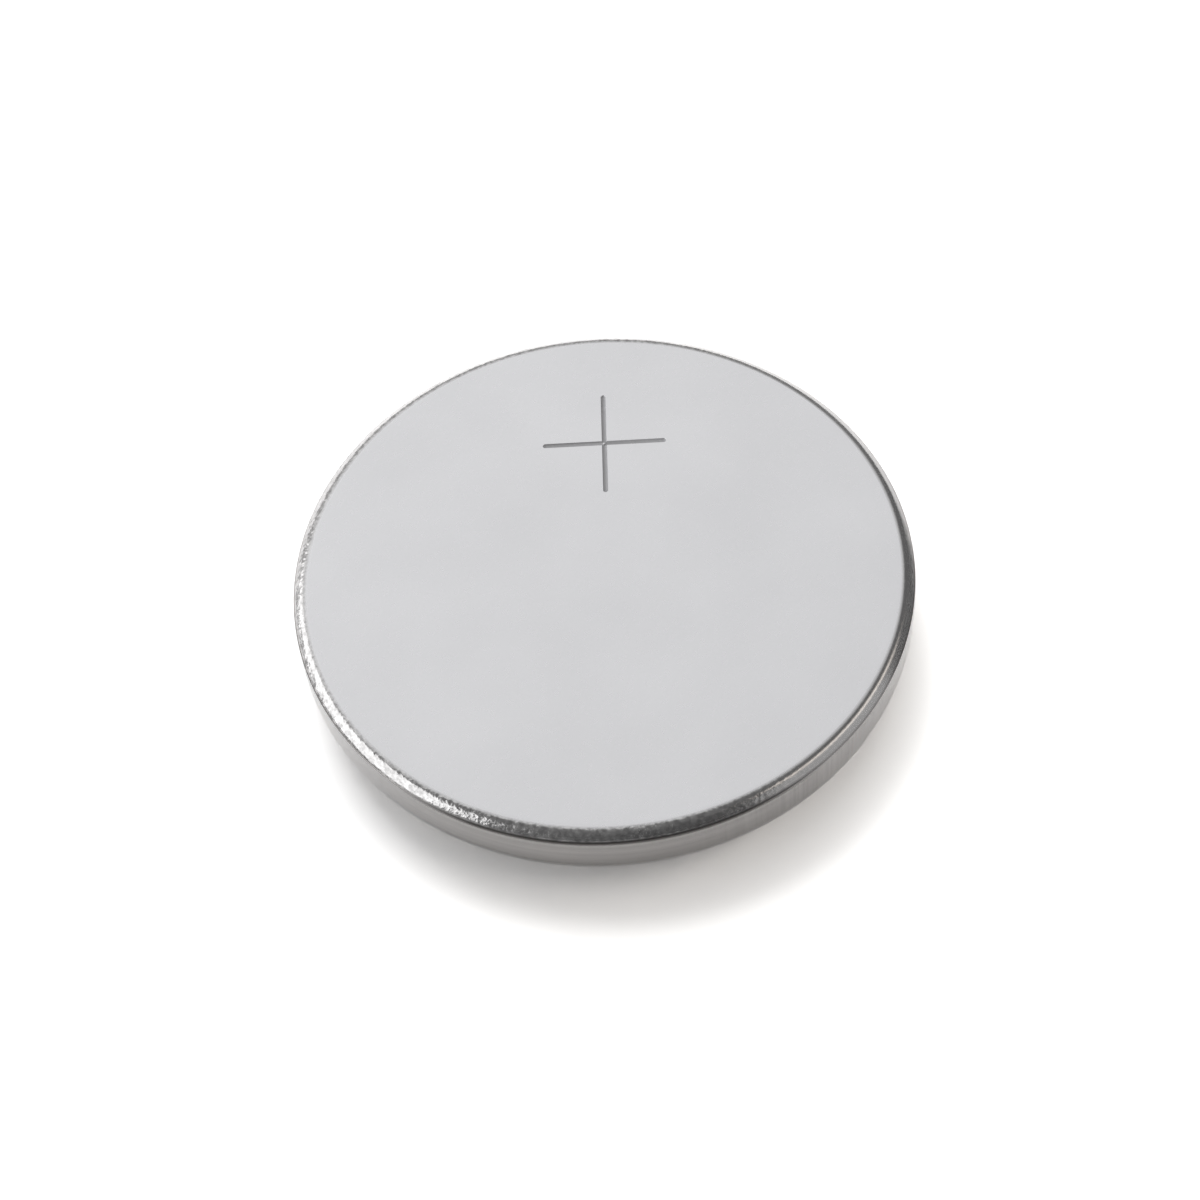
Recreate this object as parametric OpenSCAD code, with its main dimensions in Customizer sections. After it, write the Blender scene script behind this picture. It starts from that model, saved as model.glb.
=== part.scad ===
// Lithium coin cell, 12.5 mm across and 2.0 mm high, with the positive face up.
// The origin is the centre of the negative face, and every piece is a ring or disc about Z.
// The drawn steel can is rolled in over a plastic gasket, which grips the hemmed skirt of the cap.

/* [Cell] */
// Diameter over the can's wall
cell_d = 12.5; // [9.5:0.1:24.5]
// Height from the negative face to the positive face
cell_h = 2.0; // [1.9:0.05:3.2]

/* [Positive can] */
// Thickness of the can's sheet
can_t = 0.2; // [0.15:0.01:0.25]
// Inside radius of the corner between the positive face and the wall
can_corner_in_r = 0.1; // [0.05:0.01:0.25]
// Straight lip past the roll
lip_len = 0.4; // [0.3:0.01:0.55]
// Rounding of the lip's cut edge
lip_round = 0.04; // [0.01:0.01:0.06]

/* [Gasket] */
// Thickness between the can's wall and the cap's skirt, and under the lip
gasket_t = 0.25; // [0.18:0.01:0.3]
// Thickness of the foot between the hem and the can's floor
gasket_foot_t = 0.25; // [0.15:0.01:0.3]
// Thickness of the inner lip beside the hem
gasket_lip_t = 0.15; // [0.1:0.01:0.25]
// Height of the inner lip, measured from the can's floor
gasket_lip_h = 0.5; // [0.35:0.01:0.6]
// How far the gasket shows past the can's lip
gasket_reach = 0.15; // [0.13:0.01:0.25]

/* [Negative cap] */
// Thickness of the cap's sheet
cap_t = 0.2; // [0.15:0.01:0.22]
// Inside radius of the corner round the negative face
cap_corner_in_r = 0.15; // [0.08:0.01:0.22]
// Straight wall between the corner and the neck
cap_wall_h = 0.12; // [0.06:0.01:0.2]
// Radius of the neck where the wall turns out into the shoulder
cap_neck_r = 0.15; // [0.08:0.01:0.2]
// Bare shoulder between the neck and the gasket
cap_groove = 0.05; // [0.02:0.01:0.15]
// Inside radius of the bend between shoulder and skirt
cap_bend_in_r = 0.1; // [0.05:0.01:0.2]
// Gap inside the folded hem at the skirt's end
hem_gap = 0.04; // [0.02:0.01:0.06]
// Clearance between the folded leg's end and the bend
hem_clear = 0.03; // [0.01:0.01:0.06]

/* [Lithium disc] */
// Thickness of the lithium
lithium_t = 0.35; // [0.2:0.01:0.5]
// Bare rim of the cap's floor round the lithium
lithium_inset = 0.25; // [0.1:0.01:0.5]

/* [Separator] */
// Thickness of the separator felt
separator_t = 0.12; // [0.08:0.01:0.2]
// Clearance between the separator and the cap's inner wall
separator_clear = 0.03; // [0.01:0.01:0.1]
// Clearance between the separator's rim and the collector ring
separator_rim_clear = 0.25; // [0.1:0.01:0.4]
// Inside radius of the separator's corner
separator_corner_in_r = 0.04; // [0.02:0.01:0.1]

/* [Cathode] */
// Clearance between the pellet and the separator's cup
pellet_clear = 0.02; // [0.01:0.01:0.1]
// Chamfer round the pellet's lower edge
pellet_chamfer = 0.08; // [0.05:0.01:0.15]
// Thickness of the collector ring's sheet
ring_t = 0.12; // [0.08:0.01:0.15]
// Height of the collector ring
ring_h = 0.45; // [0.3:0.01:0.55]
// Width of the ring's flange under the pellet's edge
ring_flange = 0.6; // [0.3:0.05:1]

/* [Hidden] */
$fa = 2;
$fs = 0.02;

// How far a bend runs into the straight sheet beside it, in degrees, so that the two are one
bend_lap = 0.01;

// From the outside in: can, gasket and the cap's skirt
can_r = cell_d / 2;
can_in_r = can_r - can_t;
can_floor_z = cell_h - can_t;
can_corner_r = can_corner_in_r + can_t;
can_corner = [can_r - can_corner_r, cell_h - can_corner_r];
skirt_r = can_in_r - gasket_t;

// The three rolled layers bend about one centre, and these are their radii about it
layer_cap_in = cap_bend_in_r;
layer_cap_out = layer_cap_in + cap_t;
layer_can_in = layer_cap_out + gasket_t;
layer_can_out = layer_can_in + can_t;

// The lip drops 3 for every 4 inward, so heights and radii along it stay short decimals
roll_turn = atan2(4, 3);

// Straight run of the layers past the roll
gasket_run = lip_len + gasket_reach;
shoulder_run = gasket_run + cap_groove;

// The cap from the negative face up to the roll: corner, wall, neck and shoulder
cap_corner_r = cap_corner_in_r + cap_t;
neck_z = cap_corner_r + cap_wall_h;
roll_z = neck_z + shoulder_run * cos(roll_turn) + (cap_neck_r + layer_cap_out) * sin(roll_turn);
cap_wall_r = skirt_r - shoulder_run * sin(roll_turn) - (cap_neck_r + layer_cap_out) * (1 - cos(roll_turn));
cap_wall_in_r = cap_wall_r - cap_t;
cap_face_r = cap_wall_r - cap_corner_r;
cap_corner = [cap_face_r, cap_corner_r];
neck = [cap_wall_r + cap_neck_r, neck_z];
roll = [can_r - layer_can_out, roll_z];

// The hem folds the skirt's end back on its inner side
hem_out_r = cap_t + hem_gap / 2;
hem = [skirt_r - hem_out_r, can_floor_z - gasket_foot_t - hem_out_r];
hem_in_r = skirt_r - 2 * hem_out_r;

// The contents stand on the cap's floor, and the pellet fills the height that is left
separator_z = cap_t + lithium_t;
separator_r = cap_wall_in_r - separator_clear;
separator_in_r = separator_r - separator_t;
pellet_z = separator_z + separator_t;
pellet_r = separator_in_r - pellet_clear;
ring_in_r = pellet_r - ring_flange;
ring_foot_z = can_floor_z - ring_h;
ring_shelf_z = can_floor_z - ring_t;

// Turns a section, drawn as radius and height, about the cell's axis
module turned() {
    rotate_extrude()
        children();
}

// Block of a section between two radii and two heights
module block(r, z) {
    translate([r[0], z[0]])
        square([r[1] - r[0], z[1] - z[0]]);
}

// Bend of a section: a ring about its centre, kept between two angles and a lap at each end
module bend(centre, radii, angles) {
    from = angles[0] - bend_lap;
    to = angles[1] + bend_lap;
    middle = (from + to) / 2;
    translate(centre)
        intersection() {
            difference() {
                circle(r = radii[1]);
                circle(r = radii[0]);
            }
            polygon(2 * radii[1] * [
                [0, 0],
                [cos(from), sin(from)],
                [cos(middle), sin(middle)],
                [cos(to), sin(to)]]);
        }
}

// Strip past the roll, in line with the lip: radii about the roll, and runs along the lip
module past_roll(layers, runs) {
    translate(roll)
        rotate(-roll_turn)
            translate([layers[0], -runs[1]])
                square([layers[1] - layers[0], runs[1] - runs[0]]);
}

// Round spot past the roll, for the ends of the strips
module past_roll_round(layer, run, r) {
    translate(roll)
        rotate(-roll_turn)
            translate([layer, -run])
                circle(r = r);
}

// One layer of the rolled edge: down the wall, round the roll and along the lip
module rolled(layers, top_z, run) {
    block([roll[0] + layers[0], roll[0] + layers[1]], [roll_z, top_z]);
    bend(roll, layers, [-roll_turn, 0]);
    past_roll(layers, [0, run]);
}

// Deep-drawn cup with its open edge rolled in over the gasket
module positive_can() {
    color([0.82, 0.82, 0.83])
        turned() {
            block([0, can_corner[0]], [can_floor_z, cell_h]);
            bend(can_corner, [can_corner_in_r, can_corner_r], [0, 90]);
            rolled([layer_can_in, layer_can_out], can_corner[1], lip_len - lip_round);
            past_roll([layer_can_in + lip_round, layer_can_out - lip_round], [lip_len - lip_round, lip_len]);
            past_roll_round(layer_can_in + lip_round, lip_len - lip_round, lip_round);
            past_roll_round(layer_can_out - lip_round, lip_len - lip_round, lip_round);
        }
}

// Moulded ring with a groove for the hem, squeezed between can and cap
module gasket() {
    lip_r = hem_in_r - gasket_lip_t;
    lip_z = can_floor_z - gasket_lip_h;
    nose_r = gasket_t / 2;
    color([0.9, 0.9, 0.88])
        turned() {
            rolled([layer_cap_out, layer_can_in], can_corner[1], gasket_run - nose_r);
            past_roll_round(layer_cap_out + nose_r, gasket_run - nose_r, nose_r);
            bend(can_corner, [0, can_corner_in_r], [0, 90]);
            difference() {
                union() {
                    block([lip_r, can_corner[0]], [lip_z, can_floor_z]);
                    block([can_corner[0], can_in_r], [lip_z, can_corner[1]]);
                }
                translate(hem)
                    circle(r = hem_out_r);
                block([hem_in_r, skirt_r], [0, hem[1]]);
            }
        }
}

// Pressed cap with a stepped shoulder and a skirt that is folded back on itself
module negative_cap() {
    color([0.76, 0.76, 0.77])
        turned() {
            block([0, cap_face_r], [0, cap_t]);
            bend(cap_corner, [cap_corner_in_r, cap_corner_r], [-90, 0]);
            block([cap_wall_in_r, cap_wall_r], [cap_corner_r, neck_z]);
            bend(neck, [cap_neck_r, cap_neck_r + cap_t], [180 - roll_turn, 180]);
            rolled([layer_cap_in, layer_cap_out], hem[1], shoulder_run);
            bend(hem, [hem_gap / 2, hem_out_r], [0, 180]);
            block([hem_in_r, hem_in_r + cap_t], [roll_z + hem_clear, hem[1]]);
        }
}

// Punched disc of lithium on the cap's floor
module lithium_disc() {
    color([0.66, 0.67, 0.7])
        translate([0, 0, cap_t])
            cylinder(h = lithium_t, r = cap_face_r - lithium_inset);
}

// Shallow felt cup that keeps the pellet off the cap and the lithium
module separator() {
    corner_r = separator_corner_in_r + separator_t;
    corner = [separator_r - corner_r, separator_z + corner_r];
    color([0.95, 0.95, 0.93])
        turned() {
            block([0, corner[0]], [separator_z, pellet_z]);
            bend(corner, [separator_corner_in_r, corner_r], [-90, 0]);
            block([separator_in_r, separator_r], [corner[1], ring_foot_z - separator_rim_clear]);
        }
}

// Pressed pellet, chamfered below and stepped where it sits in the collector ring
module cathode_pellet() {
    color([0.13, 0.13, 0.14])
        turned()
            polygon([
                [0, pellet_z],
                [pellet_r - pellet_chamfer, pellet_z],
                [pellet_r, pellet_z + pellet_chamfer],
                [pellet_r, ring_shelf_z],
                [ring_in_r, ring_shelf_z],
                [ring_in_r, can_floor_z],
                [0, can_floor_z]]);
}

// Collector ring of L section, which lies on the can's floor and holds the pellet's edge
module cathode_ring() {
    color([0.7, 0.7, 0.71])
        turned() {
            block([ring_in_r, pellet_r], [ring_shelf_z, can_floor_z]);
            bend([pellet_r, ring_shelf_z], [0, ring_t], [0, 90]);
            block([pellet_r, pellet_r + ring_t], [ring_foot_z, ring_shelf_z]);
        }
}

positive_can();
gasket();
negative_cap();
lithium_disc();
separator();
cathode_pellet();
cathode_ring();
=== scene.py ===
# %% [markdown]
# # A lithium coin cell, dressed for a close look
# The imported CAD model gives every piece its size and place, in metres. This lesson loads it, turns
# three smooth shells over the pieces that can be seen, stamps the plus sign into the can, and gives
# each piece the finish of its real stuff. The cell lies with its positive face up, as photographed.

# %% Load the frame
import bpy
from math import atan2, cos, pi, radians, sin
from mathutils import Matrix, Quaternion, Vector


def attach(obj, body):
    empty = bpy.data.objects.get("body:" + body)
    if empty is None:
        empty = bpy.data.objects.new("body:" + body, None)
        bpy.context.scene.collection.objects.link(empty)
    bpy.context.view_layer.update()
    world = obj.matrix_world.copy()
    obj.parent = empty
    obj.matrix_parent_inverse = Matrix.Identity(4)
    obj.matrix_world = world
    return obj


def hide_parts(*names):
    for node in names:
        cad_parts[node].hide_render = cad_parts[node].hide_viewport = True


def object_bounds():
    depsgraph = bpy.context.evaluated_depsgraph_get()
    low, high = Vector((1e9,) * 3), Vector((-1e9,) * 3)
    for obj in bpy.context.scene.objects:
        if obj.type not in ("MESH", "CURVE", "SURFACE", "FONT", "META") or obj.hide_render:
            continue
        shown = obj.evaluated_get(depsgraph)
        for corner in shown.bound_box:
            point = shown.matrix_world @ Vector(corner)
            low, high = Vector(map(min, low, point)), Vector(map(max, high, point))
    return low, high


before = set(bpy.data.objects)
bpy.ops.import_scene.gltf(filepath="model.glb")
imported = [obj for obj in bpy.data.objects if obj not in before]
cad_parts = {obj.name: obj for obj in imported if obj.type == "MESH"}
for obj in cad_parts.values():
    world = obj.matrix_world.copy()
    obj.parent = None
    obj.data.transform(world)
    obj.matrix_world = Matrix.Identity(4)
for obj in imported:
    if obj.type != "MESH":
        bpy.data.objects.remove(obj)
cad_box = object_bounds()
MM = 0.001
print("CAD nodes:", ", ".join(sorted(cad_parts)))

# %% [markdown]
# ## Small helpers
# Sizes are written in millimetres, as on a drawing, and turned to metres where they are used.
# Colours are written as a painter's hex code, which is for the eye, so one function follows the sRGB
# curve back to the linear light that Blender mixes in. A second function adds a node: its settings,
# the links that feed it, and the values of its open inputs. An input goes by its name, or by the
# letter s and its number where several share a name. So a Mix node of colours takes them at inputs 6
# and 7, its factor at input 0, and gives the mix at output 2.

# %% Helpers for colour and nodes
def linear(hex_code):
    parts = [int(hex_code[i:i + 2], 16) / 255 for i in (1, 3, 5)]
    return tuple(p / 12.92 if p <= 0.04045 else ((p + 0.055) / 1.055) ** 2.4 for p in parts) + (1.0,)


def add(tree, kind, links=None, settings=None, **sockets):
    node = tree.nodes.new(kind)
    for name, value in (settings or {}).items():
        setattr(node, name, value)
    for name, value in sockets.items():
        socket = node.inputs[int(name[1:]) if name[1:].isdigit() else name.replace("_", " ")]
        socket.default_value = linear(value) if isinstance(value, str) else value
    for name, source in (links or {}).items():
        tree.links.new(source, node.inputs[name])
    return node


print("white in linear light:", linear("#FFFFFF")[:3])

# %% [markdown]
# ## The camera
# The photograph was taken from the front at about 54 degrees above the table, close enough for some
# perspective, and with the camera turned a few degrees about its own line of sight. The angles, the
# distance and the scale came from fitting the outline of the face and of the rim to ellipses. A
# camera in Blender is three directions and a place, so they go straight into its matrix. The cell
# isn't in the very middle of the photograph, so the camera aims a little beside it.

# %% Place the camera
CELL_H = 2.0
VIEW_TURN, VIEW_UP, VIEW_ROLL = radians(3.2), radians(54.54), radians(5.48)
VIEW_DISTANCE, PIXELS_PER_MM = 55.0, 49.17
PHOTO_SIDE, MIDDLE_IN_PHOTO = 1200, (605.2, 598.2)
SENSOR_WIDTH = 36

back = Vector((sin(VIEW_TURN) * cos(VIEW_UP), -cos(VIEW_TURN) * cos(VIEW_UP), sin(VIEW_UP)))
level_right = Vector((cos(VIEW_TURN), sin(VIEW_TURN), 0))
right = Matrix.Rotation(-VIEW_ROLL, 3, back) @ level_right
up = back.cross(right)
middle = Vector((0, 0, CELL_H / 2)) * MM
camera_place = middle + back * VIEW_DISTANCE * MM
beside = right * (MIDDLE_IN_PHOTO[0] - PHOTO_SIDE / 2) + up * (PHOTO_SIDE / 2 - MIDDLE_IN_PHOTO[1])
aim = middle - beside / PIXELS_PER_MM * MM
back = (camera_place - aim).normalized()
right = (right - back * right.dot(back)).normalized()
up = back.cross(right)

camera = bpy.data.objects.new("camera", bpy.data.cameras.new("camera"))
camera.data.lens = PIXELS_PER_MM * VIEW_DISTANCE / PHOTO_SIDE * SENSOR_WIDTH
camera.data.clip_start = 1 * MM
camera.matrix_world = Matrix.Translation(camera_place) @ Matrix((right, up, back)).transposed().to_4x4()
bpy.context.scene.collection.objects.link(camera)
bpy.context.scene.camera = camera
bpy.context.scene.view_settings.view_transform = "Standard"
print("lens: %.1f mm at %.0f mm" % (camera.data.lens, VIEW_DISTANCE))

# %% [markdown]
# ## The studio
# Bare metal shows its surroundings more than itself, so the lamps are half of this picture. A lamp
# does two jobs: metal mirrors it, and it lights the floor and shapes the shadow. Blender can switch
# either job off, so most panels here do only one, and each can be set by itself. Each panel is an
# area lamp that faces the cell. Its azimuth is counted from straight behind the cell towards the left,
# and its elevation from the table. Its power follows from how bright it should look: power is
# brightness times area times pi.

# %% A panel of light
PANEL_AWAY = 300


def panel(name, azimuth, elevation, size, brightness, colour="#FFFFFF", twist=0):
    turned, raised = radians(azimuth), radians(elevation)
    toward = Vector((-sin(turned) * cos(raised), cos(turned) * cos(raised), sin(raised)))
    lamp = bpy.data.lights.new(name, "AREA")
    lamp.shape = "RECTANGLE"
    lamp.size, lamp.size_y = size[0] * MM, size[1] * MM
    lamp.energy = brightness * lamp.size * lamp.size_y * pi
    lamp.color = linear(colour)[:3]
    holder = bpy.data.objects.new(name, lamp)
    holder.location = toward * PANEL_AWAY * MM
    twisted = Quaternion((0, 0, 1), radians(twist))
    holder.rotation_euler = (toward.to_track_quat("Z", "Y") @ twisted).to_euler()
    bpy.context.scene.collection.objects.link(holder)
    return holder


print("panels stand", PANEL_AWAY, "mm from the cell")

# %% [markdown]
# The flat face mirrors what hangs behind the cell, so a wide panel there gives it its pale tone. The
# left panel is hidden from metal and only lights the floor. Three panels are hidden from the floor
# and only show in metal: a low, dim card in front for the wall and the roll, a large one on the left
# for the bright arc along the rim, and a dim one on the right for the wall there. A thin, warm strip
# on the right draws the fine line along that side of the rim.

# %% Hang the six panels
# name, azimuth, elevation, width and height in mm, brightness
panel("back_panel", 0, 56, (300, 230), 0.675)
panel("left_panel", 24, 56, (160, 160), 2.1).visible_glossy = False
panel("front_card", 180, 8, (700, 120), 0.33).visible_diffuse = False
panel("left_glint", 88, 33, (450, 250), 1.8).visible_diffuse = False
panel("right_strip", -94, 44, (230, 60), 1.7, "#FFF6EC", twist=-27)
panel("right_card", -108, 22, (250, 230), 0.6).visible_diffuse = False

# %% [markdown]
# The room round the lamps is a soft glow. It is brightest behind the cell and a little to its left,
# dim in front, and it drops towards the horizon. Two ramps make it, one for the compass direction and
# one for the height, and their product is the brightness. Each stop of a ramp is a place and a grey.

# %% The room's glow
GLOW_FROM = (-0.5, 0.866, 0)
BY_COMPASS = ((0.05, 0.14), (0.3, 0.32), (0.66, 0.36), (0.85, 0.65), (1, 0.95))
BY_HEIGHT = ((0, 0.45), (0.3, 0.8), (0.6, 0.72), (0.85, 0.7), (1, 0.8))

world = bpy.data.worlds.new("studio")
bpy.context.scene.world = world
world.use_nodes = True
tree = world.node_tree
direction = add(tree, "ShaderNodeTexCoord").outputs["Generated"]
height = add(tree, "ShaderNodeSeparateXYZ", {"Vector": direction}).outputs["Z"]
behind = add(tree, "ShaderNodeVectorMath", {0: direction}, {"operation": "DOT_PRODUCT"}, s1=GLOW_FROM)
compass = add(tree, "ShaderNodeMapRange", {"Value": behind.outputs["Value"]}, From_Min=-1.0, From_Max=1.0)
glow = add(tree, "ShaderNodeMix", settings={"data_type": "RGBA", "blend_type": "MULTIPLY"}, s0=1.0)
for slot, source, stops in ((6, compass.outputs[0], BY_COMPASS), (7, height, BY_HEIGHT)):
    ramp = add(tree, "ShaderNodeValToRGB", {"Fac": source})
    stop_list = ramp.color_ramp.elements
    stop_list[0].position, stop_list[1].position = stops[0][0], stops[-1][0]
    for position, _ in stops[1:-1]:
        stop_list.new(position)
    for stop, (_, grey) in zip(stop_list, stops):
        stop.color = (grey, grey, grey, 1)
    tree.links.new(ramp.outputs["Color"], glow.inputs[slot])
    print("glow stops:", [round(stop.position, 2) for stop in stop_list])
tree.links.new(glow.outputs[2], tree.nodes["Background"].inputs["Color"])
print("world nodes:", len(tree.nodes))

# %% [markdown]
# ## Starting a piece and a material
# Blender's operators act on all that is selected, and the frame arrives selected, so everything is
# deselected before a new piece is added. A new material comes with its Principled shader, and each
# finish below is wired into that.

# %% Tools for a new piece and a new material
def deselect():
    for thing in bpy.context.selected_objects:
        thing.select_set(False)


def new_material(name):
    material = bpy.data.materials.new(name)
    material.use_nodes = True
    return material, material.node_tree, material.node_tree.nodes["Principled BSDF"]


deselect()
print("still selected:", len(bpy.context.selected_objects))

# %% [markdown]
# ## The floor
# The floor is a sheet of white card. The camera, the metal and the milky plastic should all see it as
# clean white, so for their rays it takes a brighter colour, and it still keeps the cell's shadow. It
# lies a fiftieth of a millimetre under the cell, because two faces at one height would fight over
# which of them shows.

# %% Lay the floor
FLOOR_R, FLOOR_DROP = 3.0, 0.02
CARD_LIT, CARD_SEEN = (0.45, 0.45, 0.45, 1), (2.8, 2.8, 2.8, 1)
RGBA = {"data_type": "RGBA"}
EITHER = {"operation": "MAXIMUM"}

bpy.ops.mesh.primitive_circle_add(vertices=64, radius=FLOOR_R, fill_type="NGON",
                                  location=(0, 0, -FLOOR_DROP * MM))
floor = bpy.context.active_object
floor.name = "floor"
card, tree, shader = new_material("white_card")
shader.inputs["Roughness"].default_value = 0.9
shader.inputs["Specular IOR Level"].default_value = 0.0
rays = add(tree, "ShaderNodeLightPath").outputs
seen = add(tree, "ShaderNodeMath", {0: rays["Is Camera Ray"], 1: rays["Is Glossy Ray"]}, EITHER).outputs[0]
seen = add(tree, "ShaderNodeMath", {0: seen, 1: rays["Is Transmission Ray"]}, EITHER).outputs[0]
tone = add(tree, "ShaderNodeMix", {0: seen}, RGBA, s6=CARD_LIT, s7=CARD_SEEN)
tree.links.new(tone.outputs[2], shader.inputs["Base Color"])
floor.data.materials.append(card)
print("floor radius: %.1f m" % (floor.dimensions.x / 2))

# %% [markdown]
# ## Turning a section
# The can, the gasket and the cap are sheets and rings that were pressed round an axis. By hand, such
# a piece starts as one point. The point is pulled along each straight stretch, and spun about the
# centre of each bend, until it has drawn the piece's cut edge. Then the whole line is spun about the
# cell's axis. A straight pull keeps flats flat, and a spin keeps bends round, which metal shows at
# once in its reflections.

# %% Tools for drawing and turning a section
TURN_STEPS = 288
WELD = 1e-7


def start_point(name, radius, height):
    deselect()
    bpy.ops.mesh.primitive_plane_add(size=1 * MM, location=(0, 0, 0))
    piece = bpy.context.active_object
    piece.name = piece.data.name = name
    bpy.ops.object.mode_set(mode="EDIT")
    bpy.ops.mesh.select_all(action="SELECT")
    bpy.ops.mesh.merge(type="CENTER")
    bpy.ops.transform.translate(value=(radius * MM, 0, height * MM))
    return piece


def pull(dr, dz):
    bpy.ops.mesh.extrude_vertices_move(TRANSFORM_OT_translate={"value": (dr * MM, 0, dz * MM)})


def bend(centre, degrees, steps):
    bpy.ops.mesh.spin(steps=steps, angle=radians(degrees), center=(centre[0] * MM, 0, centre[1] * MM),
                      axis=(0, 1, 0))


def turn_about_axis():
    bpy.ops.mesh.select_all(action="SELECT")
    bpy.ops.mesh.remove_doubles(threshold=WELD)
    bpy.ops.mesh.spin(steps=TURN_STEPS, angle=2 * pi, center=(0, 0, 0), axis=(0, 0, 1))
    bpy.ops.mesh.select_all(action="SELECT")
    bpy.ops.mesh.remove_doubles(threshold=WELD)
    bpy.ops.mesh.normals_make_consistent(inside=False)
    bpy.ops.object.mode_set(mode="OBJECT")


print("a turned piece takes", TURN_STEPS, "steps round the axis")

# %% [markdown]
# ## The sheets and the roll
# The can was drawn deep from flat sheet, then its edge was rolled in over the gasket. The can, the
# gasket and the cap bend about one centre there, each at its own radius, so the layers nest. Past the
# roll they run on as straight lips that slope inwards and down, three down for four across, which
# keeps the numbers round. These sizes are the CAD model's, and the can's radius is read off its box.

# %% Sizes of the sheets and of the roll
CAN_T, GASKET_T, CAP_T = 0.2, 0.25, 0.2
CAP_BEND_R = 0.1
CAP_OUT = CAP_BEND_R + CAP_T
CAN_IN = CAP_OUT + GASKET_T
CAN_OUT = CAN_IN + CAN_T
CAN_R = min(abs(side) for corner in cad_box for side in corner[:2]) / MM
ROLL_Z = 1.19
ROLL = (CAN_R - CAN_OUT, ROLL_Z)
ROLL_TURN = atan2(4, 3) * 180 / pi
LIP_DIRECTION, LIP_OUTWARD = (-0.8, -0.6), (0.6, -0.8)
LIP_RUN, LIP_ROUND = 0.4, 0.04


def along_lip(run):
    pull(LIP_DIRECTION[0] * run, LIP_DIRECTION[1] * run)


def past_roll(layer, run):
    return [ROLL[i] + LIP_OUTWARD[i] * layer + LIP_DIRECTION[i] * run for i in (0, 1)]


print("can radius %.3f mm, rolled in by %.1f degrees" % (CAN_R, ROLL_TURN))

# %% [markdown]
# ## The can's corner
# Between the face and the wall the photograph shows no plain quarter circle. The corner is soft next
# to the face, then nearly straight, and it meets the wall in a small, crisp turn, as a tight drawing
# die would leave it. So the section follows the CAD model's round corner for 40 degrees, runs on as a
# straight cone, and ends in a turn with a radius of a fortieth of a millimetre.

# %% Sizes of the corner
CORNER_IN_R = 0.1
CORNER_R = CORNER_IN_R + CAN_T
CORNER = (CAN_R - CORNER_R, CELL_H - CORNER_R)
SOFT_TURN, CRISP_R = 40.0, 0.025
CONE_FACING = (sin(radians(SOFT_TURN)), cos(radians(SOFT_TURN)))
CONE_RUN = (CORNER_R - CRISP_R) * (1 - CONE_FACING[0]) / CONE_FACING[1]
CRISP_Z = CORNER[1] + (CORNER_R - CRISP_R) * CONE_FACING[1] - CONE_RUN * CONE_FACING[0]
CRISP = (CAN_R - CRISP_R, CRISP_Z)
print("corner from radius %.2f mm down to height %.2f mm" % (CORNER[0], CRISP_Z))

# %% [markdown]
# ## The can's section
# The can's section is one line: along the face, round the corner, down the wall, round the roll, along
# the lip, over the cut edge and all the way back inside. Going out, a bend turns one way; coming back,
# the other. The face ends in a narrow border, which keeps the big face clear of the bend.

# %% Draw and turn the can
FACE_BORDER = 0.06
CUT_EDGE = CAN_T - 2 * LIP_ROUND

can = start_point("can_shell", 0, CELL_H)
pull(CORNER[0] - FACE_BORDER, 0)
pull(FACE_BORDER, 0)
bend(CORNER, -SOFT_TURN, steps=8)
pull(CONE_FACING[1] * CONE_RUN, -CONE_FACING[0] * CONE_RUN)
bend(CRISP, SOFT_TURN - 90, steps=6)
pull(0, ROLL_Z - CRISP_Z)
bend(ROLL, -ROLL_TURN, steps=18)
along_lip(LIP_RUN - LIP_ROUND)
bend(past_roll(CAN_OUT - LIP_ROUND, LIP_RUN - LIP_ROUND), -90, steps=5)
pull(-LIP_OUTWARD[0] * CUT_EDGE, -LIP_OUTWARD[1] * CUT_EDGE)
bend(past_roll(CAN_IN + LIP_ROUND, LIP_RUN - LIP_ROUND), -90, steps=5)
along_lip(LIP_ROUND - LIP_RUN)
bend(ROLL, ROLL_TURN, steps=14)
pull(0, CORNER[1] - ROLL_Z)
bend(CORNER, 90, steps=6)
pull(-CORNER[0], 0)
turn_about_axis()
print("can:", [round(v / MM, 3) for v in can.dimensions], "mm,", len(can.data.polygons), "faces")

# %% [markdown]
# ## The plus sign
# A hardened die pressed the plus into the face: two thin, shallow strokes with round ends, and a tiny
# raised pip where they cross. It is real depth here, because a groove catches the light in a way that
# painted lines do not. A Boolean modifier will cut it out of the face. First the fan of thin triangles
# on the face is dissolved into one clean face, so that the cut leaves nothing ragged. The fan is picked
# by where it faces, how high it lies and how near the axis it is.

# %% Clear the fan of faces
ALMOST = 0.9999
FLAT_UP, NEAR_TOP = 0.999, 0.01


def make_active(piece):
    deselect()
    piece.select_set(True)
    bpy.context.view_layer.objects.active = piece


def select_faces(piece, wanted):
    for part in (piece.data.vertices, piece.data.edges, piece.data.polygons):
        part.foreach_set("select", [False] * len(part))
    for face in piece.data.polygons:
        face.select = wanted(face)


make_active(can)
fan_r = (CORNER[0] - FACE_BORDER) * ALMOST * MM
fan_z = (CELL_H - NEAR_TOP) * MM
select_faces(can, lambda face: face.normal.z > FLAT_UP and face.center.z > fan_z
             and face.center.xy.length < fan_r)
bpy.ops.object.mode_set(mode="EDIT")
bpy.ops.mesh.select_mode(type="FACE")
bpy.ops.mesh.dissolve_faces()
bpy.ops.object.mode_set(mode="OBJECT")
print("can without the fan:", len(can.data.polygons), "faces")

# %% [markdown]
# The die is modelled too. A small ball, sized so that it cuts the groove's width at the groove's
# depth, is pulled apart into a long capsule, one for each stroke. The ball has an odd number of
# rings, so none lies at its middle and each half moves as one. It sinks in by the groove's depth.

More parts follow.
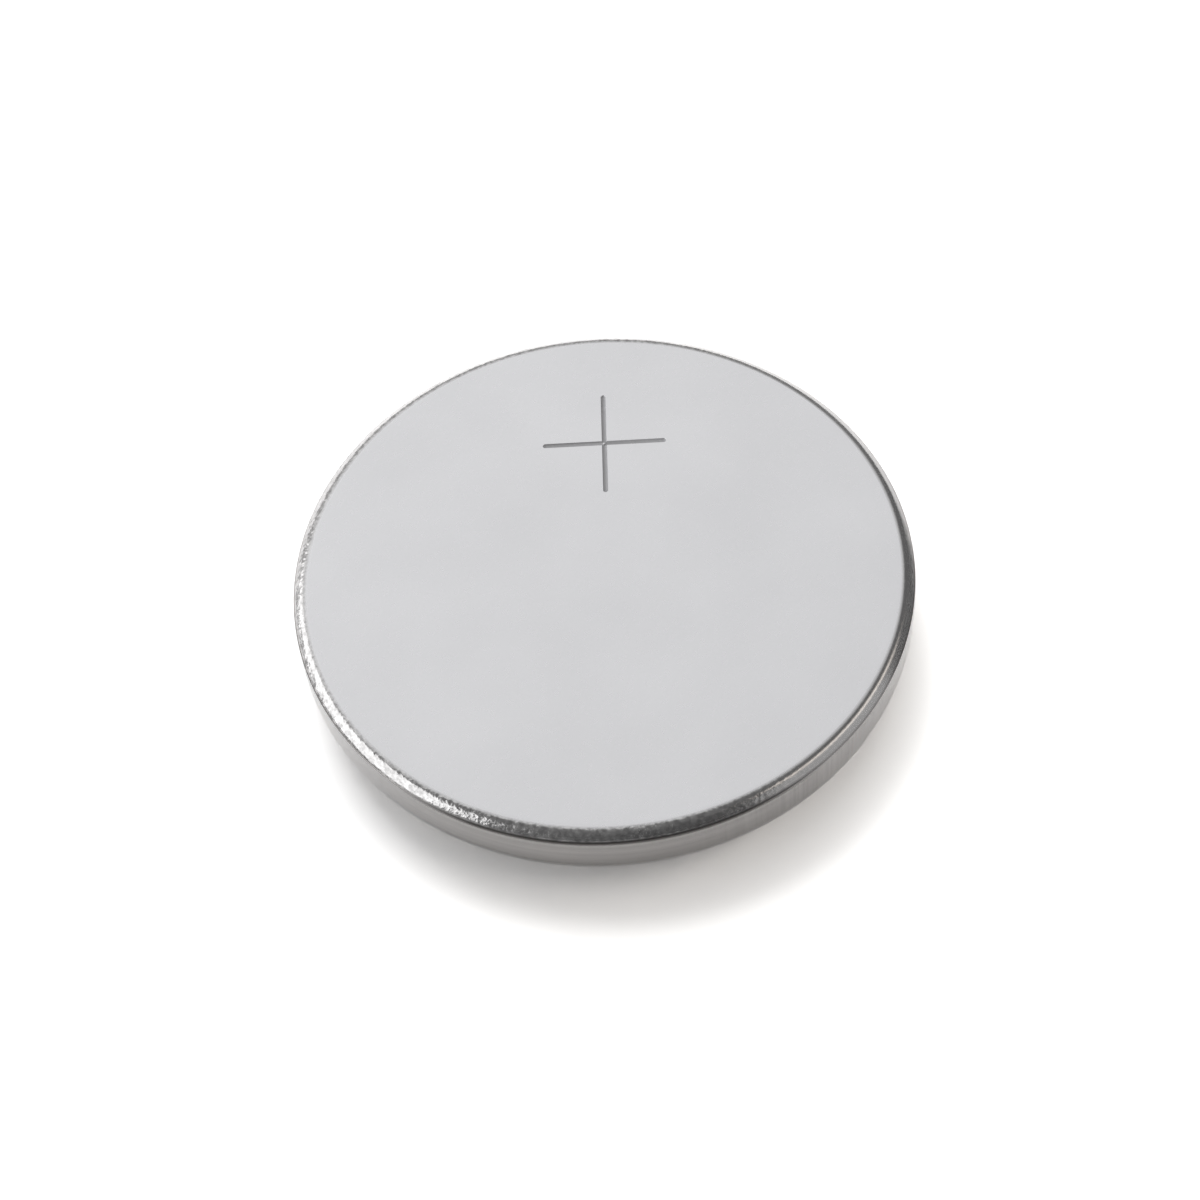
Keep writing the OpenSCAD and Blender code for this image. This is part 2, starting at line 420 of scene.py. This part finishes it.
# %% Shape a stroke of the die
PLUS_AT, PLUS_LENGTH = (0.11, 3.23), 2.56
GROOVE_W, GROOVE_DEPTH = 0.105, 0.03
DIE_R = (GROOVE_W ** 2 / 4 + GROOVE_DEPTH ** 2) / (2 * GROOVE_DEPTH)


def die_stroke(across):
    deselect()
    bpy.ops.mesh.primitive_uv_sphere_add(segments=20, ring_count=13, radius=DIE_R * MM)
    die = bpy.context.active_object
    die.data.transform(Matrix.Rotation(pi / 2, 4, "Y" if across else "X"))
    lengthways = Vector((1, 0, 0) if across else (0, 1, 0))
    stretch = (PLUS_LENGTH - GROOVE_W) / 2 * MM
    for side in (1, -1):
        select_faces(die, lambda face: False)
        for vertex in die.data.vertices:
            vertex.select = side * vertex.co.dot(lengthways) > 0
        bpy.ops.object.mode_set(mode="EDIT")
        bpy.ops.mesh.select_mode(type="VERT")
        bpy.ops.transform.translate(value=lengthways * side * stretch)
        bpy.ops.object.mode_set(mode="OBJECT")
    lift = CELL_H + DIE_R - GROOVE_DEPTH
    bpy.ops.object.mode_set(mode="EDIT")
    bpy.ops.mesh.select_all(action="SELECT")
    bpy.ops.transform.translate(value=(PLUS_AT[0] * MM, PLUS_AT[1] * MM, lift * MM))
    bpy.ops.object.mode_set(mode="OBJECT")
    return die


print("die radius: %.3f mm" % DIE_R)

# %% [markdown]
# Each stroke is cut, and a small ball is joined to the groove for the pip, its top just level with
# the face. A Bevel then softens the lips of the groove, as pressing does.

# %% Stamp the plus
PIP_R = 0.05
LIP_SOFTENING = 0.008
SHARP = radians(40)


def apply_modifier(piece, kind, **settings):
    make_active(piece)
    modifier = piece.modifiers.new(kind.lower(), kind)
    for name, value in settings.items():
        setattr(modifier, name, value)
    bpy.ops.object.modifier_apply(modifier=modifier.name)


for across in (True, False):
    die = die_stroke(across)
    apply_modifier(can, "BOOLEAN", object=die, operation="DIFFERENCE", solver="EXACT")
    bpy.data.objects.remove(die)
deselect()
bpy.ops.mesh.primitive_uv_sphere_add(segments=20, ring_count=12, radius=PIP_R * MM,
                                     location=(PLUS_AT[0] * MM, PLUS_AT[1] * MM, (CELL_H - PIP_R) * MM))
pip = bpy.context.active_object
apply_modifier(can, "BOOLEAN", object=pip, operation="UNION", solver="EXACT")
bpy.data.objects.remove(pip)
apply_modifier(can, "BEVEL", width=LIP_SOFTENING * MM, segments=2, limit_method="ANGLE", angle_limit=SHARP)
print("can after stamping:", len(can.data.polygons), "faces")

# %% [markdown]
# ## The gasket
# The gasket is one moulded ring. It fills the space between the can and the cap, follows the roll
# about the same centre, and ends in a round nose that shows as a pale ring on the underside. Inside
# the can it has a groove, where the cap's folded edge sits, and a thin inner lip beyond that groove.

# %% Draw and turn the gasket
NOSE_PAST_LIP, NOSE_R = 0.15, GASKET_T / 2
GASKET_RUN = LIP_RUN + NOSE_PAST_LIP
OVER_HEM, HEM_GAP = 0.25, 0.04
INNER_LIP_T, INNER_LIP_H = 0.15, 0.5
HEM_R = CAP_T + HEM_GAP / 2
CAN_FLOOR_Z = CELL_H - CAN_T
HEM = (ROLL[0] + CAP_OUT - HEM_R, CAN_FLOOR_Z - OVER_HEM - HEM_R)
INNER_LIP_R, INNER_LIP_Z = HEM[0] - HEM_R - INNER_LIP_T, CAN_FLOOR_Z - INNER_LIP_H

gasket = start_point("gasket_ring", INNER_LIP_R, CAN_FLOOR_Z)
pull(CORNER[0] - INNER_LIP_R, 0)
bend(CORNER, -90, steps=6)
pull(0, ROLL_Z - CORNER[1])
bend(ROLL, -ROLL_TURN, steps=14)
along_lip(GASKET_RUN - NOSE_R)
bend(past_roll(CAP_OUT + NOSE_R, GASKET_RUN - NOSE_R), -180, steps=12)
along_lip(NOSE_R - GASKET_RUN)
bend(ROLL, ROLL_TURN, steps=8)
pull(0, HEM[1] - ROLL_Z)
bend(HEM, 180, steps=12)
pull(0, INNER_LIP_Z - HEM[1])
pull(-INNER_LIP_T, 0)
pull(0, CAN_FLOOR_Z - INNER_LIP_Z)
turn_about_axis()
print("gasket:", [round(v / MM, 3) for v in gasket.dimensions], "mm")

# %% [markdown]
# ## The cap
# The cap was pressed from sheet like a shallow hat. From its flat face it turns up a short wall, steps
# out under the gasket, bends up inside the roll, and its edge is folded back on itself in a hem, which
# keeps the thin sheet stiff under the squeeze. Its section is drawn like the can's, out along one side
# of the sheet and back along the other.

# %% Draw and turn the cap
NECK_R, CAP_WALL_H, CAP_CORNER_R = 0.15, 0.12, 0.35
STEP_PAST_NOSE, HEM_ABOVE_ROLL = 0.05, 0.03
STEP_RUN = GASKET_RUN + STEP_PAST_NOSE
HEM_END_Z = ROLL_Z + HEM_ABOVE_ROLL
BEND_SHIFT = (1 - LIP_OUTWARD[0]) * (NECK_R + CAP_OUT)
CAP_WALL_R = ROLL[0] + CAP_OUT + LIP_DIRECTION[0] * STEP_RUN - BEND_SHIFT
CAP_CORNER = (CAP_WALL_R - CAP_CORNER_R, CAP_CORNER_R)
NECK = (CAP_WALL_R + NECK_R, CAP_CORNER_R + CAP_WALL_H)

cap = start_point("cap_shell", 0, 0)
pull(CAP_CORNER[0] - FACE_BORDER, 0)
pull(FACE_BORDER, 0)
bend(CAP_CORNER, 90, steps=14)
pull(0, CAP_WALL_H)
bend(NECK, -ROLL_TURN, steps=8)
along_lip(-STEP_RUN)
bend(ROLL, ROLL_TURN, steps=10)
pull(0, HEM[1] - ROLL_Z)
bend(HEM, 180, steps=14)
pull(0, HEM_END_Z - HEM[1])
pull(CAP_T, 0)
pull(0, HEM[1] - HEM_END_Z)
bend(HEM, -180, steps=6)
pull(0, ROLL_Z - HEM[1])
bend(ROLL, -ROLL_TURN, steps=6)
along_lip(STEP_RUN)
bend(NECK, ROLL_TURN, steps=10)
pull(0, -CAP_WALL_H)
bend(CAP_CORNER, -90, steps=8)
pull(-CAP_CORNER[0], 0)
turn_about_axis()
print("cap:", [round(v / MM, 3) for v in cap.dimensions], "mm")

# %% [markdown]
# ## Smooth shading
# Smooth shading blends the normals of neighbouring faces. On a shape with one huge flat face next to
# narrow ones that blend would creep across the flat and show as a smear, so a Weighted Normal
# modifier lets the larger face win at every corner. A closed shell has two faces at every edge, so
# the count of open edges should be 0.

# %% Smooth the three turned pieces
for piece in (can, gasket, cap):
    make_active(piece)
    bpy.ops.object.shade_smooth_by_angle(angle=SHARP)
    apply_modifier(piece, "WEIGHTED_NORMAL", mode="FACE_AREA", weight=60, keep_sharp=True)
    open_edges = len(piece.data.edges) * 2 - sum(len(face.vertices) for face in piece.data.polygons)
    print(piece.name, "open edges:", open_edges)

# %% [markdown]
# ## Satin nickel on drawn steel
# The can is stainless steel with a thin nickel plate: a cool pale grey, satin rather than mirror.
# Three things were done to its surface, and each leaves its own mark. Rolling the sheet left the flat
# face almost even, with a faint cloudiness. Stretching the sheet round the corner raised its grain
# into a pebbly skin, which a maker calls orange peel, about a tenth of a millimetre from bump to
# bump. Sliding the wall through the drawing die left fine lines up the wall, and polishing left faint
# bands round it. One material covers the whole can, so it has to know where on the can it is. Each
# zone is a step from 0 to 1 between two sizes, read off the place on the piece in millimetres.

# %% Zones of the can
PER_MM = (1 / MM, 1 / MM, 1 / MM)
TIMES = {"operation": "MULTIPLY"}
MINUS = {"operation": "SUBTRACT"}
TIMES_PLUS = {"operation": "MULTIPLY_ADD"}

nickel, tree, shader = new_material("satin_nickel")
on_piece = add(tree, "ShaderNodeTexCoord").outputs["Object"]
place = add(tree, "ShaderNodeMapping", {"Vector": on_piece}, Scale=PER_MM).outputs[0]
sides = add(tree, "ShaderNodeSeparateXYZ", {0: place}).outputs
flat = add(tree, "ShaderNodeVectorMath", {0: place}, TIMES, s1=(1, 1, 0)).outputs[0]
radius = add(tree, "ShaderNodeVectorMath", {0: flat}, {"operation": "LENGTH"}).outputs["Value"]
zone = {}
# name, what it is read from, where it starts, where it is full, how it fades in
for name, source, start, full, fade in (
        ("past_face", radius, 5.95, 6.03, "SMOOTHSTEP"),
        ("past_edge", radius, 5.98, 6.08, "SMOOTHSTEP"),
        ("above_wall", sides["Z"], CRISP_Z + 0.02, CRISP_Z + 0.06, "SMOOTHSTEP"),
        ("below_corner", sides["Z"], CRISP_Z, CRISP_Z - 0.09, "SMOOTHSTEP"),
        # this zone carries painted shade: the roll mirrors the shadowed floor under the rim
        ("roll_painted_shade", sides["Z"], ROLL_Z + 0.05, ROLL_Z - 0.35, "SMOOTHSTEP"),
        ("pressed_in", sides["Z"], CELL_H - 0.003, CELL_H - 0.008, "LINEAR"),
        ("in_front", sides["Y"], -4.6, -5.7, "LINEAR")):
    zone[name] = add(tree, "ShaderNodeMapRange", {"Value": source}, {"interpolation_type": fade},
                     From_Min=start, From_Max=full).outputs[0]
print("zones:", ", ".join(zone))

# %% [markdown]
# Other zones are made of these. The peel covers the corner but fades to almost nothing on the right,
# where the photograph shows a smooth corner. The groove is what is pressed in and not past the face.
# The corner line is the narrow ring where the corner meets the wall, and it shows in front only, where it
# carries a painted line of shade.

# %% Zones made of zones
FADE_OF_PEEL = {"From_Min": 1.0, "From_Max": 4.2, "To_Min": 1.0, "To_Max": 0.08}
peel = add(tree, "ShaderNodeMapRange", {"Value": sides["X"]}, **FADE_OF_PEEL).outputs[0]
on_corner = add(tree, "ShaderNodeMath", {0: zone["past_edge"], 1: zone["above_wall"]}, TIMES).outputs[0]
peel_on_corner = add(tree, "ShaderNodeMath", {0: peel, 1: on_corner}, TIMES).outputs[0]
on_wall = add(tree, "ShaderNodeMath", {1: zone["above_wall"]}, MINUS, s0=1.0).outputs[0]
in_groove = add(tree, "ShaderNodeMath", {0: zone["past_face"], 2: zone["pressed_in"]},
                {"operation": "MULTIPLY_ADD", "use_clamp": True}, s1=-1.0).outputs[0]
corner_line = add(tree, "ShaderNodeMath", {0: on_wall, 1: zone["below_corner"]}, MINUS).outputs[0]
corner_line = add(tree, "ShaderNodeMath", {0: corner_line, 1: zone["in_front"]}, TIMES).outputs[0]
print("zone nodes:", len(tree.nodes))

# %% [markdown]
# The cloudiness is a slow noise, a few millimetres from patch to patch, and the pebbles are a fine
# one. Lines and bands are noises that are squeezed in two directions and stretched in the third:
# upright for the lines of the drawing die, and round the can for the bands of the polish. The wall
# shows the bands, and on the right the lines. Real drawing lines are several times finer, and these
# are as coarse as they need to be to show. A noise keeps mostly to the middle of its range, so it is
# spread out before it is used.

# %% Patterns of the nickel
CLOUDS_PER_MM, GRAINS_PER_MM, PEBBLES_PER_MM = 0.45, 7.0, 10.0
LINES_PER_MM, BANDS_PER_MM = (14, 14, 0.25), (0.1, 0.1, 8)
MOST = {"From_Min": 0.3, "From_Max": 0.7}
MIDDLE = {"From_Min": 0.35, "From_Max": 0.65}

cloud = add(tree, "ShaderNodeTexNoise", {"Vector": place}, Scale=CLOUDS_PER_MM, Detail=4.0).outputs[0]
grain = add(tree, "ShaderNodeTexNoise", {"Vector": place}, Scale=GRAINS_PER_MM, Detail=2.0).outputs[0]
pebbles = add(tree, "ShaderNodeTexNoise", {"Vector": place}, Scale=PEBBLES_PER_MM, Detail=1.5, Roughness=0.6)
pebbles = pebbles.outputs[0]
upright = add(tree, "ShaderNodeMapping", {"Vector": place}, Scale=LINES_PER_MM).outputs[0]
lines = add(tree, "ShaderNodeTexNoise", {"Vector": upright}, Scale=1.0, Detail=1.0).outputs[0]
round_can = add(tree, "ShaderNodeMapping", {"Vector": place}, Scale=BANDS_PER_MM).outputs[0]
bands = add(tree, "ShaderNodeTexNoise", {"Vector": round_can}, Scale=1.0, Detail=2.0).outputs[0]
streaks = add(tree, "ShaderNodeMix", {0: peel, 2: lines, 3: bands}).outputs[0]
streaks = add(tree, "ShaderNodeMapRange", {"Value": streaks}, **MIDDLE).outputs[0]
cloudy = add(tree, "ShaderNodeMapRange", {"Value": cloud}, **MOST).outputs[0]
pebbly = add(tree, "ShaderNodeMapRange", {"Value": pebbles}, **MIDDLE).outputs[0]
pebbly = add(tree, "ShaderNodeMath", {0: pebbly, 1: peel}, TIMES).outputs[0]
print("pebbles: %.2f mm from bump to bump" % (1 / PEBBLES_PER_MM))

# %% [markdown]
# Each zone has its tone. The face is the palest. The corner and the wall are painted darker than the face,
# as painted shade for the dark surroundings and the shaded floor close to the cell that they mirror. The
# wall is also a little warmer, and the corner is darker still between its pebbles and on the right, where
# its pebbles fade. Round the roll the wall is painted darker again, as painted shade for the shadowed
# floor under the rim. A painted dark line, shade that the crisp corner shows, marks that corner in front,
# and the groove is painted a darker grey, as painted shade in the pressed recess. The tones are laid
# over one another like masked coats.

# %% Colours of the nickel
face_tone = add(tree, "ShaderNodeMix", {0: cloudy}, RGBA, s6="#D1D1D3", s7="#D5D5D7").outputs[2]
# painted shade: the corner is darker than the face, and darkest on the right, where its pebbles fade
peel_tone = add(tree, "ShaderNodeMix", {0: pebbly}, RGBA, s6="#A2A1A1", s7="#C4C3C3").outputs[2]
# painted shade: the wall is darker than the face, for the shaded floor close to the cell that it mirrors
wall_tone = add(tree, "ShaderNodeMix", {0: streaks}, RGBA, s6="#82807F", s7="#8C8A89").outputs[2]
# painted shade: the wall darkens round the roll, for the shadowed floor under the rim that it mirrors
wall_tone = add(tree, "ShaderNodeMix", {0: zone["roll_painted_shade"], 6: wall_tone}, RGBA, s7="#6A6867").outputs[2]
# painted shade: a dark line where the crisp corner meets the wall, in front only
front_line_shade = add(tree, "ShaderNodeMix", {0: zone["in_front"]}, RGBA, s6="#868483", s7="#454342").outputs[2]
# painted shade: the groove is a darker grey than the face
colour = add(tree, "ShaderNodeMix", {0: in_groove, 6: face_tone}, RGBA, s7="#BBBBBD").outputs[2]
for where, coat in ((zone["past_face"], peel_tone), (on_wall, front_line_shade), (zone["below_corner"], wall_tone)):
    colour = add(tree, "ShaderNodeMix", {0: where, 6: colour, 7: coat}, RGBA).outputs[2]
tree.links.new(colour, shader.inputs["Base Color"])
shader.inputs["Metallic"].default_value = 1.0
print("nickel nodes with colours:", len(tree.nodes))

# %% [markdown]
# The satin is almost even. Past the face the metal is rubbed a little glossier, the die left the
# groove matt, and the crisp corner is rougher in front, under its painted dark line. The relief is a
# bump, because none of it changes the outline. The peel rises about a hundredth of a millimetre, which
# is enough to sparkle.
# The grain and the streaks are far finer and only break up the reflections.

# %% Gloss and relief of the nickel
SATIN = {"To_Min": 0.27, "To_Max": 0.29}
GRAIN_RISE, PEBBLE_RISE, STREAK_RISE = 0.0001, 0.013, 0.0003

gloss = add(tree, "ShaderNodeMapRange", {"Value": grain}, **MOST, **SATIN).outputs[0]
for where, duller in ((zone["past_face"], -0.07), (in_groove, 0.45), (corner_line, 0.3)):
    gloss = add(tree, "ShaderNodeMath", {0: where, 2: gloss}, TIMES_PLUS, s1=duller).outputs[0]
tree.links.new(gloss, shader.inputs["Roughness"])

peel_relief = add(tree, "ShaderNodeMath", {0: pebbles, 1: peel_on_corner}, TIMES).outputs[0]
streak_relief = add(tree, "ShaderNodeMath", {0: streaks, 1: zone["past_face"]}, TIMES).outputs[0]
bump = add(tree, "ShaderNodeBump", {"Height": grain}, Distance=GRAIN_RISE * MM).outputs[0]
for relief, rise in ((peel_relief, PEBBLE_RISE), (streak_relief, STREAK_RISE)):
    bump = add(tree, "ShaderNodeBump", {"Height": relief, "Normal": bump}, Distance=rise * MM).outputs[0]
tree.links.new(bump, shader.inputs["Normal"])
can.data.materials.clear()
can.data.materials.append(nickel)
print("nickel nodes:", len(tree.nodes))

# %% [markdown]
# ## The cap's stainless steel
# The cap is bare stainless steel, a little darker and warmer than nickel, with the fine straight
# lines of the rolling mill right across it, because it was punched from strip. They are finer on the
# real one, and drawn here as coarse as they need to be to show.

# %% Make the stainless steel
MILL_PER_MM, MILL_RISE = (12, 0.35, 12), 0.0015

stainless, tree, shader = new_material("rolled_stainless")
on_piece = add(tree, "ShaderNodeTexCoord").outputs["Object"]
place = add(tree, "ShaderNodeMapping", {"Vector": on_piece}, Scale=PER_MM).outputs[0]
along_strip = add(tree, "ShaderNodeMapping", {"Vector": place}, Scale=MILL_PER_MM).outputs[0]
mill = add(tree, "ShaderNodeTexNoise", {"Vector": along_strip}, Scale=1.0, Detail=4.0).outputs[0]
cloud = add(tree, "ShaderNodeTexNoise", {"Vector": place}, Scale=0.5, Detail=3.0).outputs[0]
colour = add(tree, "ShaderNodeMix", {0: cloud}, RGBA, s6="#BFBDBB", s7="#CCCAC8").outputs[2]
tree.links.new(colour, shader.inputs["Base Color"])
shader.inputs["Metallic"].default_value = 1.0
gloss = add(tree, "ShaderNodeMapRange", {"Value": mill}, **MOST, To_Min=0.26, To_Max=0.38).outputs[0]
tree.links.new(gloss, shader.inputs["Roughness"])
bump = add(tree, "ShaderNodeBump", {"Height": mill}, Distance=MILL_RISE * MM).outputs[0]
tree.links.new(bump, shader.inputs["Normal"])
cap.data.materials.clear()
cap.data.materials.append(stainless)
print("stainless nodes:", len(tree.nodes))

# %% [markdown]
# ## Moulded polypropylene
# The gasket is polypropylene without any pigment: milky, a little see-through in thin places and
# softly glossy. Subsurface scattering gives the milkiness. Its radius is a fraction of a millimetre,
# about as far as light travels in the plastic. The mould left a faint, fine skin.

# %% Make the polypropylene
POLYPROPYLENE_IOR = 1.49
LIGHT_TRAVELS, SKIN_RISE = 0.2, 0.002

milky, tree, shader = new_material("moulded_polypropylene")
on_piece = add(tree, "ShaderNodeTexCoord").outputs["Object"]
place = add(tree, "ShaderNodeMapping", {"Vector": on_piece}, Scale=PER_MM).outputs[0]
cloud = add(tree, "ShaderNodeTexNoise", {"Vector": place}, Scale=1.2, Detail=3.0).outputs[0]
skin = add(tree, "ShaderNodeTexNoise", {"Vector": place}, Scale=14.0, Detail=2.0).outputs[0]
colour = add(tree, "ShaderNodeMix", {0: cloud}, RGBA, s6="#DAD9D2", s7="#E8E7E1").outputs[2]
tree.links.new(colour, shader.inputs["Base Color"])
shader.inputs["IOR"].default_value = POLYPROPYLENE_IOR
shader.inputs["Subsurface Weight"].default_value = 0.4
shader.inputs["Subsurface Radius"].default_value = (1.0, 0.95, 0.85)
shader.inputs["Subsurface Scale"].default_value = LIGHT_TRAVELS * MM
gloss = add(tree, "ShaderNodeMapRange", {"Value": skin}, **MOST, To_Min=0.38, To_Max=0.5).outputs[0]
tree.links.new(gloss, shader.inputs["Roughness"])
bump = add(tree, "ShaderNodeBump", {"Height": skin}, Distance=SKIN_RISE * MM).outputs[0]
tree.links.new(bump, shader.inputs["Normal"])
gasket.data.materials.clear()
gasket.data.materials.append(milky)
print("polypropylene nodes:", len(tree.nodes))

# %% [markdown]
# ## What the can holds
# The pieces inside are sealed from sight, but the model can be opened, so they are finished too. The
# CAD meshes stay as they are, and take their finish through their material slots. One loop makes the
# four, because they differ only in colour, gloss and the size of their grain: soft dull lithium,
# felt, a tablet of pressed black powder, and a plain steel ring. The felt's fibres are drawn coarser
# than they are, so that they show.

# %% Finish the inner pieces
GLOSS_SPREAD = 0.06
# finish, dark and light tone, metallic, roughness, grains per mm, rise of the grain in mm
INNER_FINISHES = {
    "lithium_disc": ("dull_lithium", "#A5A8AE", "#B6B8BC", 1.0, 0.45, 5.0, 0.004),
    "separator": ("felted_fibre", "#E6E5DF", "#F1F0EB", 0.0, 0.9, 20.0, 0.012),
    "cathode_pellet": ("pressed_powder", "#1E1F22", "#2E2F32", 0.0, 0.75, 12.0, 0.008),
    "cathode_ring": ("plain_steel", "#B4B3B2", "#C3C2C1", 1.0, 0.3, 8.0, 0.001)}
for node_name, (finish, dark, light, metallic, roughness, per_mm, rise) in INNER_FINISHES.items():
    material, tree, shader = new_material(finish)
    on_piece = add(tree, "ShaderNodeTexCoord").outputs["Object"]
    place = add(tree, "ShaderNodeMapping", {"Vector": on_piece}, Scale=PER_MM).outputs[0]
    grain = add(tree, "ShaderNodeTexNoise", {"Vector": place}, Scale=per_mm, Detail=4.0).outputs[0]
    spread = add(tree, "ShaderNodeMapRange", {"Value": grain}, **MOST).outputs[0]
    colour = add(tree, "ShaderNodeMix", {0: spread}, RGBA, s6=dark, s7=light).outputs[2]
    tree.links.new(colour, shader.inputs["Base Color"])
    shader.inputs["Metallic"].default_value = metallic
    gloss = add(tree, "ShaderNodeMapRange", {"Value": grain}, **MOST,
                To_Min=roughness - GLOSS_SPREAD, To_Max=roughness + GLOSS_SPREAD).outputs[0]
    tree.links.new(gloss, shader.inputs["Roughness"])
    bump = add(tree, "ShaderNodeBump", {"Height": grain}, Distance=rise * MM).outputs[0]
    tree.links.new(bump, shader.inputs["Normal"])
    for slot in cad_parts[node_name].material_slots:
        slot.material = material
    print(node_name, "is now", finish)

# %% [markdown]
# ## Riding on the body
# Each new shell rides on the cell's one body and hides the CAD piece that it stands for. Then the box
# of the CAD model is printed.

# %% Ride, replace and print the CAD box
for piece, node_name, slot_name in ((can, "positive_can", "can_steel"), (gasket, "gasket", "gasket_plastic"),
                                    (cap, "negative_cap", "cap_steel")):
    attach(piece, "root")
    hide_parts(node_name)
print("CAD box", [[round(v / MM, 4) for v in c] for c in cad_box])
